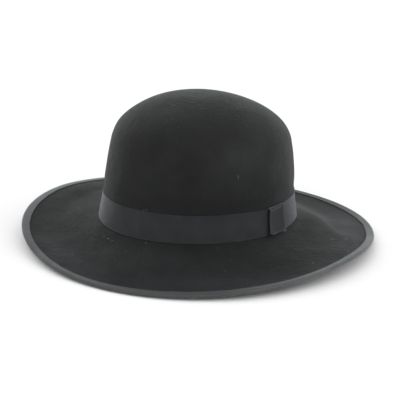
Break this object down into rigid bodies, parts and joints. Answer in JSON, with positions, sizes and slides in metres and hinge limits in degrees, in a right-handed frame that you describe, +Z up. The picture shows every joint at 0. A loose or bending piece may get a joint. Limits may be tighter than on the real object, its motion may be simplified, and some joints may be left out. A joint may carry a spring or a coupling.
{
  "type": "wide-brim felt hat",
  "caption": "Black felt hat with a round open crown, a wide drooping brim, a ribbon band with a keeper and a ribbon-bound brim edge.",
  "frame": {"origin": "on the surface that the hat rests on, under the middle of its bounding box", "axes": "+Z up out of the crown, -Y towards the hat's front, +X towards its wearer's left, where the band's keeper is"},
  "size_m": [0.3226, 0.3354, 0.1363],
  "materials": {
    "wool_felt": "matt black wool felt with a short brushed nap",
    "band_ribbon": "black ribbed grosgrain ribbon with a low sheen",
    "binding_ribbon": "black grosgrain binding ribbon, a little greyer than the band"
  },
  "bodies": {
    "root": {"felt_body": "wool_felt", "hat_band": "band_ribbon", "band_keeper": "band_ribbon", "brim_binding": "binding_ribbon"}
  },
  "joints": []
}
